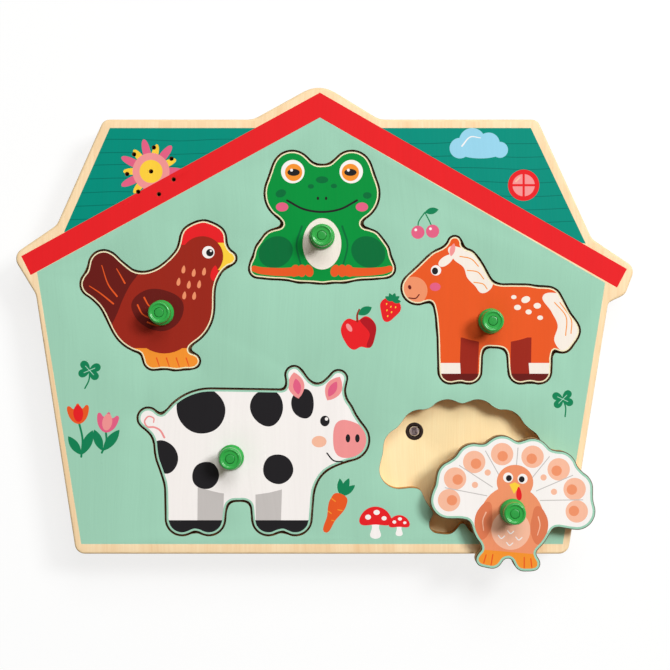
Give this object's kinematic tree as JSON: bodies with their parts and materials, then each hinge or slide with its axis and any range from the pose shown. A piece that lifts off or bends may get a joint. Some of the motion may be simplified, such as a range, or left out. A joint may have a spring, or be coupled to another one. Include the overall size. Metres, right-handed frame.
{
  "type": "sound puzzle",
  "caption": "Barn-shaped wooden sound puzzle: animal pieces on knobs lift out of their recesses, light sensors under them start the sounds, and a back door holds the batteries.",
  "frame": {"origin": "on the flat back face, behind the middle of the board's width", "axes": "+X to the right and +Y up the barn front as seen from the printed side, +Z out of the printed face"},
  "size_m": [0.3, 0.2341, 0.0453],
  "materials": {
    "printed_panel": "satin",
    "plywood": "satin",
    "fibreboard": "matte",
    "hen_print": "satin",
    "frog_print": "satin",
    "pony_print": "satin",
    "pig_print": "satin",
    "turkey_print": "satin",
    "knob_green": "gloss",
    "steel_screw": "satin",
    "spring_steel": "satin",
    "black_plastic": "matte",
    "cell_jacket": "satin",
    "board_green": "satin",
    "speaker_metal": "satin",
    "speaker_paper": "matte",
    "magnet_iron": "satin",
    "sensor_ceramic": "gloss",
    "lead_red": "satin"
  },
  "bodies": {
    "board": {"back_panel": "fibreboard", "back_screw_1": "steel_screw", "back_screw_2": "steel_screw", "back_screw_3": "steel_screw", "back_screw_4": "steel_screw", "back_screw_5": "steel_screw", "back_screw_6": "steel_screw", "battery_1": "cell_jacket", "battery_2": "cell_jacket", "battery_box": "black_plastic", "battery_contact_1": "spring_steel", "battery_contact_2": "spring_steel", "battery_lead": "lead_red", "battery_spring_1": "spring_steel", "battery_spring_2": "spring_steel", "circuit_board": "board_green", "frame_ring": "plywood", "front_panel": "printed_panel", "light_sensor_frog": "sensor_ceramic", "light_sensor_hen": "sensor_ceramic", "light_sensor_pig": "sensor_ceramic", "light_sensor_pony": "sensor_ceramic", "light_sensor_turkey": "sensor_ceramic", "recess_floor": "plywood", "sensor_lead_frog": "lead_red", "sensor_lead_hen": "lead_red", "sensor_lead_pig": "lead_red", "sensor_lead_pony": "lead_red", "sensor_lead_turkey": "lead_red", "sensor_sleeve_frog": "black_plastic", "sensor_sleeve_hen": "black_plastic", "sensor_sleeve_pig": "black_plastic", "sensor_sleeve_pony": "black_plastic", "sensor_sleeve_turkey": "black_plastic", "sound_chip": "black_plastic", "speaker_cone": "speaker_paper", "speaker_frame": "speaker_metal", "speaker_lead": "lead_red", "speaker_magnet": "magnet_iron", "switch_body": "black_plastic", "switch_lead": "lead_red"},
    "hen": {"hen_piece": "hen_print", "hen_knob": "knob_green", "hen_rivet": "knob_green"},
    "frog": {"frog_piece": "frog_print", "frog_knob": "knob_green", "frog_rivet": "knob_green"},
    "pony": {"pony_piece": "pony_print", "pony_knob": "knob_green", "pony_rivet": "knob_green"},
    "pig": {"pig_piece": "pig_print", "pig_knob": "knob_green", "pig_rivet": "knob_green"},
    "turkey": {"turkey_piece": "turkey_print", "turkey_knob": "knob_green", "turkey_rivet": "knob_green"},
    "battery_door": {"battery_door": "black_plastic", "battery_door_screw": "steel_screw"},
    "switch_slider": {"switch_slider": "black_plastic"}
  },
  "joints": [
    {"name": "hen_lift", "type": "slide", "parent": "board", "child": "hen", "axis": [0, 0, 1], "range_m": [0, 0.06]},
    {"name": "frog_lift", "type": "slide", "parent": "board", "child": "frog", "axis": [0, 0, 1], "range_m": [0, 0.06]},
    {"name": "pony_lift", "type": "slide", "parent": "board", "child": "pony", "axis": [0, 0, 1], "range_m": [0, 0.06]},
    {"name": "pig_lift", "type": "slide", "parent": "board", "child": "pig", "axis": [0, 0, 1], "range_m": [0, 0.06]},
    {"name": "turkey_lift", "type": "slide", "parent": "board", "child": "turkey", "axis": [0, 0, 1], "range_m": [0, 0.06]},
    {"name": "door_swing", "type": "hinge", "parent": "board", "child": "battery_door", "pos_m": [-0.0317, -0.04, 0.0003], "axis": [0, 1, 0], "range_deg": [0, 60]},
    {"name": "switch_slide", "type": "slide", "parent": "board", "child": "switch_slider", "axis": [1, 0, 0], "range_m": [0, 0.004]}
  ]
}
